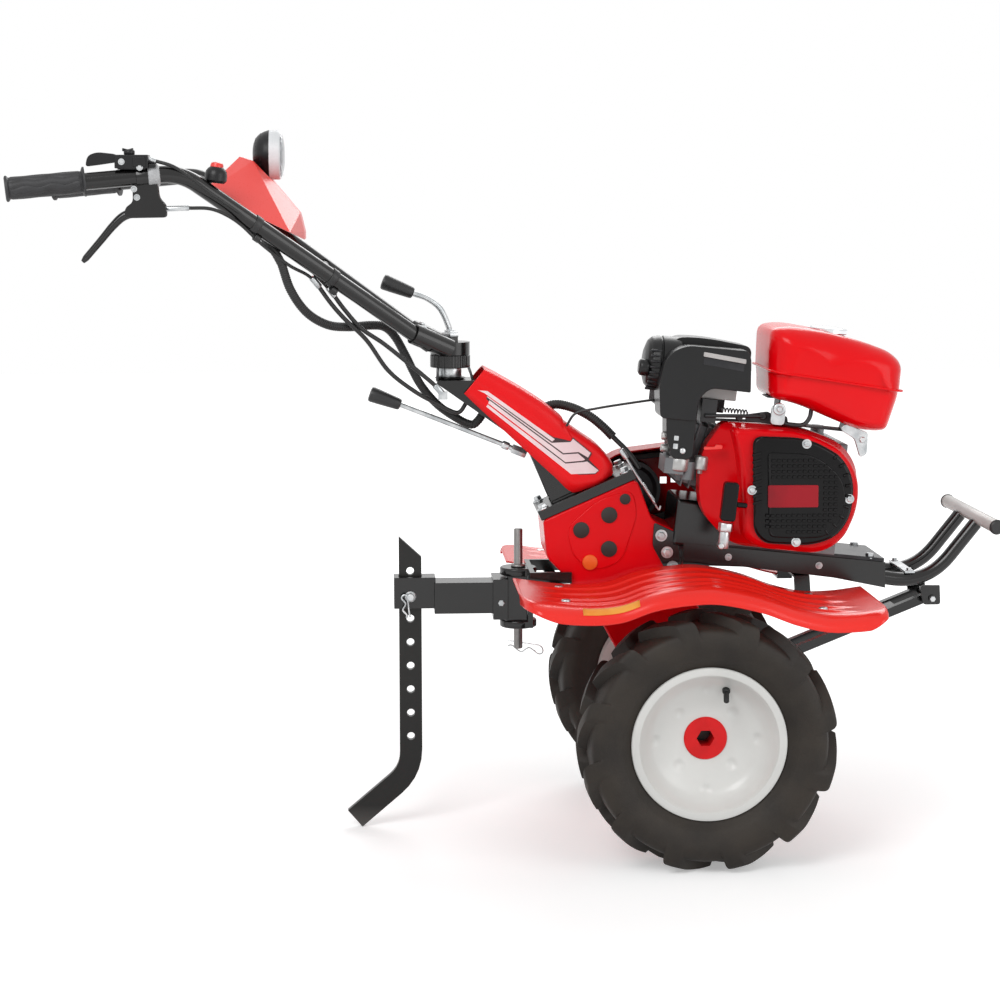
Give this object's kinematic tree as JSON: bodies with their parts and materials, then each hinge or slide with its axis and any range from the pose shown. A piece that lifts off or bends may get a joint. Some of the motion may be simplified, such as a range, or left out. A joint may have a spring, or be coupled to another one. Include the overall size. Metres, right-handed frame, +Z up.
{
  "type": "walking tractor",
  "caption": "Two-wheeled walking tractor with a petrol engine over the wheels, swivelling handlebar, rear hitch with drag coulter, fenders and a folding front stand.",
  "frame": {"origin": "middle of the footprint, on the ground under the tyres and the coulter's foot", "axes": "+X forward, towards the bumper; +Y to the operator's left; +Z up"},
  "size_m": [1.5066, 0.6, 1.112],
  "materials": {
    "red_paint": "glossy paint",
    "red_sheet": "glossy paint over thin sheet",
    "red_plastic": "glossy moulded plastic",
    "black_paint": "semi-gloss powder coat",
    "black_plastic": "moulded plastic",
    "grey_plastic": "moulded plastic",
    "rubber": "matte rubber",
    "tyre": "matte tyre rubber",
    "rim_paint": "light grey paint",
    "zinc": "zinc plated",
    "cast_alloy": "raw casting",
    "lens": "clear lens"
  },
  "bodies": {
    "chassis": {"gearbox_case": "red_paint", "column": "black_paint", "column_cover": "red_plastic", "gear_lever": "zinc", "head_base": "black_paint", "hitch_bracket": "black_paint", "hitch_pin": "zinc", "tool_carrier": "black_paint", "coulter": "black_paint", "coulter_pin": "zinc", "engine_frame": "black_paint", "bumper": "black_paint", "bumper_strap": "zinc", "stand_bracket": "black_paint", "fender_left": "red_plastic", "fender_right": "red_plastic", "fender_stay_front": "black_paint", "fender_stay_rear": "black_paint", "engine_mount_plate": "zinc", "engine_block": "cast_alloy", "fan_housing": "red_sheet", "recoil_cover": "black_plastic", "recoil_handle": "black_plastic", "air_cleaner": "grey_plastic", "carburettor": "cast_alloy", "fuel_tank": "red_sheet", "fuel_cap": "red_plastic", "tank_cradle": "zinc", "muffler": "cast_alloy", "drive_belt": "rubber", "gearbox_pulley": "cast_alloy", "engine_pulley": "cast_alloy", "belt_guard": "red_paint", "wiring_loom_lower": "rubber", "clutch_cable": "rubber", "throttle_cable": "rubber", "engine_harness": "rubber"},
    "axle_wheels": {"axle": "zinc", "tyre_left": "tyre", "tyre_right": "tyre", "rim_left": "rim_paint", "rim_right": "rim_paint", "hub_left": "red_paint", "hub_right": "red_paint"},
    "handlebar": {"swivel_head": "black_paint", "handle_tube_left": "black_paint", "handle_tube_right": "black_paint", "grip_left": "rubber", "grip_right": "rubber", "handle_cross_member": "black_paint", "clamp_lever": "zinc", "dash_cover": "red_plastic", "headlamp_housing": "black_plastic", "headlamp_lens": "lens", "kill_switch": "red_plastic", "throttle_control": "black_plastic", "clutch_lever": "black_paint", "wiring_loom_upper": "rubber"},
    "front_stand": {"stand": "black_paint"}
  },
  "joints": [
    {"name": "wheel_roll", "type": "hinge", "parent": "chassis", "child": "axle_wheels", "pos_m": [0.27534, 0, 0.197], "axis": [0, 1, 0], "continuous": true},
    {"name": "handlebar_swivel", "type": "hinge", "parent": "chassis", "child": "handlebar", "pos_m": [-0.10066, 0, 0.764], "axis": [0, 0, 1], "range_deg": [-25, 25], "deforming": ["wiring_loom_lower", "clutch_cable", "throttle_cable"]},
    {"name": "stand_fold", "type": "hinge", "parent": "chassis", "child": "front_stand", "pos_m": [0.66734, 0, 0.373], "axis": [0, -1, 0], "range_deg": [0, 72]}
  ]
}
